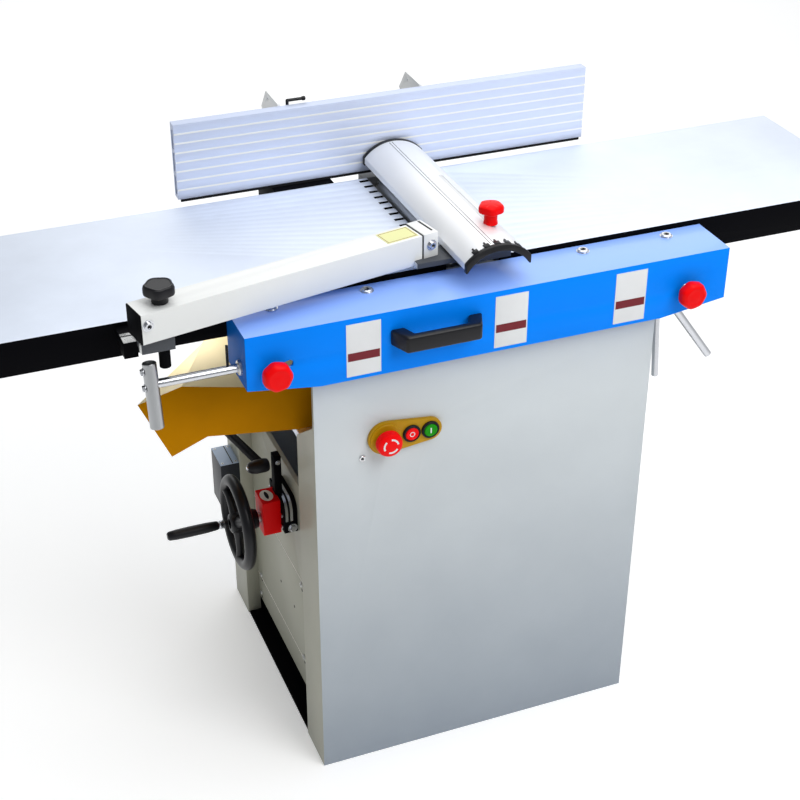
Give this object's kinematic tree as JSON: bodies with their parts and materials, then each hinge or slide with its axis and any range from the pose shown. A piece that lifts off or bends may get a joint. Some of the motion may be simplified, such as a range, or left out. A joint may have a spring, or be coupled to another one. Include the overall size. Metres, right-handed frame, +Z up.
{
  "type": "combination planer thicknesser",
  "caption": "Floor-standing planer thicknesser with tilting tables, bridge guard, tilting fence, rising thicknesser bed and dust hood on a sheet steel cabinet",
  "frame": {"origin": "on the floor, in the middle of the four anchor holes under the cabinet", "axes": "+X right along the tables as the operator sees them, +Y away from the operator towards the fence, +Z up"},
  "size_m": [1.42, 0.742, 0.9985],
  "materials": {
    "cabinet_paint": "smooth satin paint, warm white",
    "side_paint": "smooth satin paint, beige grey",
    "white_paint": "smooth gloss paint, white",
    "blue_paint": "gloss azure paint",
    "yellow_paint": "satin mustard paint",
    "black_paint": "satin black paint",
    "motor_paint": "matt machine grey paint",
    "grey_iron": "cast surface with machined faces",
    "ground_iron": "ground cast iron, bright",
    "tool_steel": "turned steel",
    "bright_steel": "bright steel",
    "chrome_steel": "bright chrome plating",
    "bronze": "turned bronze",
    "fence_aluminium": "extruded anodised aluminium",
    "guard_aluminium": "smooth anodised aluminium",
    "belt_rubber": "matt ribbed rubber",
    "black_plastic": "moulded, satin black",
    "dark_plastic": "moulded, dark blue grey",
    "red_plastic": "moulded, glossy red",
    "green_plastic": "moulded, glossy green",
    "orange_plastic": "moulded, orange yellow"
  },
  "bodies": {
    "cabinet": {"cabinet_front": "cabinet_paint", "cabinet_rear": "cabinet_paint", "left_side_panel": "side_paint", "right_side_panel": "side_paint", "side_panel_screws": "bright_steel", "base_frame": "black_paint", "bed_support": "grey_iron", "motor_body": "motor_paint", "drive_belt": "belt_rubber", "front_head": "grey_iron", "rear_head": "grey_iron", "cutterhead_bearings": "bright_steel", "hinge_brackets": "black_paint", "hinge_pins": "bright_steel", "switch_plate": "orange_plastic", "junction_box": "dark_plastic", "handwheel_bearing": "black_paint", "position_indicator": "red_plastic"},
    "cutter_block": {"cutterhead": "tool_steel", "knives": "bright_steel", "cutterhead_pulley": "tool_steel"},
    "motor_rotor": {"motor_pulley": "bright_steel"},
    "infeed_feed_roller": {"infeed_roller": "tool_steel"},
    "outfeed_feed_roller": {"outfeed_roller": "tool_steel"},
    "tilt_frame": {"apron": "blue_paint", "apron_screws": "bright_steel", "lift_handle": "black_plastic", "left_tilt_arm": "black_paint", "right_tilt_arm": "black_paint"},
    "outfeed_unit": {"outfeed_table": "ground_iron", "fence_base": "black_paint", "guard_bracket": "motor_paint"},
    "infeed_unit": {"infeed_table": "ground_iron"},
    "outfeed_clamp": {"outfeed_clamp_knob": "red_plastic"},
    "infeed_clamp": {"infeed_clamp_knob": "red_plastic"},
    "left_lock": {"left_lock_lever": "chrome_steel"},
    "right_lock": {"right_lock_lever": "chrome_steel"},
    "depth_lever": {"infeed_lever": "chrome_steel"},
    "fence_slider": {"fence_carriage": "black_paint"},
    "fence": {"fence_profile": "fence_aluminium", "fence_brackets": "white_paint"},
    "fence_lock": {"fence_lock_lever": "black_paint"},
    "guard_pillar": {"guard_post": "black_paint"},
    "guard_swing_arm": {"guard_arm": "white_paint"},
    "guard_arm_clamp": {"guard_arm_knob": "black_plastic"},
    "bridge_guard": {"guard_plate": "guard_aluminium", "guard_end_caps": "black_plastic"},
    "guard_clamp": {"guard_knob": "red_plastic"},
    "bed": {"thicknesser_bed": "ground_iron", "lift_screw": "tool_steel"},
    "nut": {"lift_nut": "bronze"},
    "wheel": {"handwheel": "black_plastic", "handwheel_shaft": "bright_steel"},
    "crank": {"crank_grip": "black_plastic"},
    "feed_clutch": {"feed_lever": "black_paint", "feed_lever_knob": "black_plastic"},
    "hood": {"dust_hood": "yellow_paint"},
    "estop": {"estop_button": "red_plastic"},
    "stop": {"stop_button": "red_plastic"},
    "start": {"start_button": "green_plastic"}
  },
  "joints": [
    {"name": "table_tilt", "type": "hinge", "parent": "cabinet", "child": "tilt_frame", "pos_m": [0, 0.215, 0.79], "axis": [-1, 0, 0], "range_deg": [0, 88]},
    {"name": "outfeed_slide", "type": "slide", "parent": "tilt_frame", "child": "outfeed_unit", "axis": [0.9703, 0, 0.2419], "range_m": [-0.002, 0.002]},
    {"name": "infeed_slide", "type": "slide", "parent": "tilt_frame", "child": "infeed_unit", "axis": [0.9703, 0, -0.2419], "range_m": [-0.004, 0.016]},
    {"name": "depth_lever_turn", "type": "hinge", "parent": "tilt_frame", "child": "depth_lever", "pos_m": [0.297, -0.215, 0.778], "axis": [0, -1, 0], "range_deg": [-7, 26]},
    {"name": "outfeed_clamp_turn", "type": "hinge", "parent": "outfeed_unit", "child": "outfeed_clamp", "pos_m": [-0.341, -0.295, 0.794], "axis": [0, 1, 0], "continuous": true},
    {"name": "infeed_clamp_turn", "type": "hinge", "parent": "infeed_unit", "child": "infeed_clamp", "pos_m": [0.311, -0.295, 0.794], "axis": [0, 1, 0], "continuous": true},
    {"name": "left_lock_turn", "type": "hinge", "parent": "tilt_frame", "child": "left_lock", "pos_m": [-0.5055, -0.25, 0.792], "axis": [1, 0, 0], "range_deg": [-50, 60]},
    {"name": "right_lock_turn", "type": "hinge", "parent": "cabinet", "child": "right_lock", "pos_m": [0.3, -0.217, 0.728], "axis": [1, 0, 0], "range_deg": [-20, 60]},
    {"name": "fence_slide", "type": "slide", "parent": "outfeed_unit", "child": "fence_slider", "axis": [0, -1, 0], "range_m": [0, 0.175]},
    {"name": "fence_tilt", "type": "hinge", "parent": "fence_slider", "child": "fence", "pos_m": [0, 0.196, 0.877], "axis": [-1, 0, 0], "range_deg": [0, 45]},
    {"name": "fence_lock_turn", "type": "hinge", "parent": "fence", "child": "fence_lock", "pos_m": [-0.162, 0.184, 0.972], "axis": [0, 1, 0], "range_deg": [-12, 50]},
    {"name": "guard_lift", "type": "slide", "parent": "outfeed_unit", "child": "guard_pillar", "axis": [0, 0, 1], "range_m": [0, 0.04]},
    {"name": "guard_swing", "type": "hinge", "parent": "guard_pillar", "child": "guard_swing_arm", "pos_m": [-0.484, -0.248, 0.892], "axis": [0, 0, 1], "range_deg": [-60, 0]},
    {"name": "guard_slide", "type": "slide", "parent": "guard_swing_arm", "child": "bridge_guard", "axis": [0, -1, 0], "range_m": [0, 0.175]},
    {"name": "guard_arm_clamp_turn", "type": "hinge", "parent": "guard_swing_arm", "child": "guard_arm_clamp", "pos_m": [-0.484, -0.248, 0.93], "axis": [0, 0, 1], "continuous": true},
    {"name": "guard_clamp_turn", "type": "hinge", "parent": "guard_swing_arm", "child": "guard_clamp", "pos_m": [0.025, -0.18579, 0.93], "axis": [0, 0, 1], "continuous": true},
    {"name": "cutterhead_spin", "type": "hinge", "parent": "cabinet", "child": "cutter_block", "pos_m": [0, 0, 0.8225], "axis": [0, 1, 0], "continuous": true},
    {"name": "motor_spin", "type": "hinge", "parent": "cabinet", "child": "motor_rotor", "pos_m": [0, 0.2, 0.12973], "axis": [0, 1, 0], "continuous": true},
    {"name": "infeed_roller_spin", "type": "hinge", "parent": "cabinet", "child": "infeed_feed_roller", "pos_m": [0.066, 0, 0.8035], "axis": [0, 1, 0], "continuous": true},
    {"name": "outfeed_roller_spin", "type": "hinge", "parent": "cabinet", "child": "outfeed_feed_roller", "pos_m": [-0.066, 0, 0.8035], "axis": [0, 1, 0], "continuous": true},
    {"name": "bed_lift", "type": "slide", "parent": "cabinet", "child": "bed", "axis": [0, 0, 1], "range_m": [-0.11, 0]},
    {"name": "nut_turn", "type": "hinge", "parent": "cabinet", "child": "nut", "pos_m": [-0.11, -0.045, 0.41], "axis": [0, 0, 1], "range_deg": [-9905, 5]},
    {"name": "wheel_turn", "type": "hinge", "parent": "cabinet", "child": "wheel", "pos_m": [-0.344, -0.045, 0.378], "axis": [1, 0, 0], "range_deg": [-9905, 5]},
    {"name": "crank_spin", "type": "hinge", "parent": "wheel", "child": "crank", "pos_m": [-0.4, 0.00988, 0.33957], "axis": [1, 0, 0], "continuous": true},
    {"name": "feed_clutch_turn", "type": "hinge", "parent": "cabinet", "child": "feed_clutch", "pos_m": [-0.298, 0.19, 0.408], "axis": [1, 0, 0], "range_deg": [-8, 8]},
    {"name": "hood_slide", "type": "slide", "parent": "cabinet", "child": "hood", "axis": [-1, 0, 0], "range_m": [0, 0.3]},
    {"name": "estop_press", "type": "slide", "parent": "cabinet", "child": "estop", "axis": [0, 1, 0], "range_m": [0, 0.003], "stiffness_N_per_m": 600},
    {"name": "stop_press", "type": "slide", "parent": "cabinet", "child": "stop", "axis": [0, 1, 0], "range_m": [0, 0.003], "stiffness_N_per_m": 400},
    {"name": "start_press", "type": "slide", "parent": "cabinet", "child": "start", "axis": [0, 1, 0], "range_m": [0, 0.003], "stiffness_N_per_m": 400}
  ],
  "couplings": [
    {"joint": "depth_lever_turn", "follows": "infeed_slide", "rad_per_m": 27.3},
    {"joint": "guard_slide", "follows": "fence_slide", "ratio": 1},
    {"joint": "motor_spin", "follows": "cutterhead_spin", "ratio": 0.5227},
    {"joint": "infeed_roller_spin", "follows": "cutterhead_spin", "ratio": -0.03},
    {"joint": "outfeed_roller_spin", "follows": "cutterhead_spin", "ratio": -0.03},
    {"joint": "nut_turn", "follows": "bed_lift", "rad_per_m": 1570.8},
    {"joint": "wheel_turn", "follows": "bed_lift", "rad_per_m": 1570.8}
  ]
}
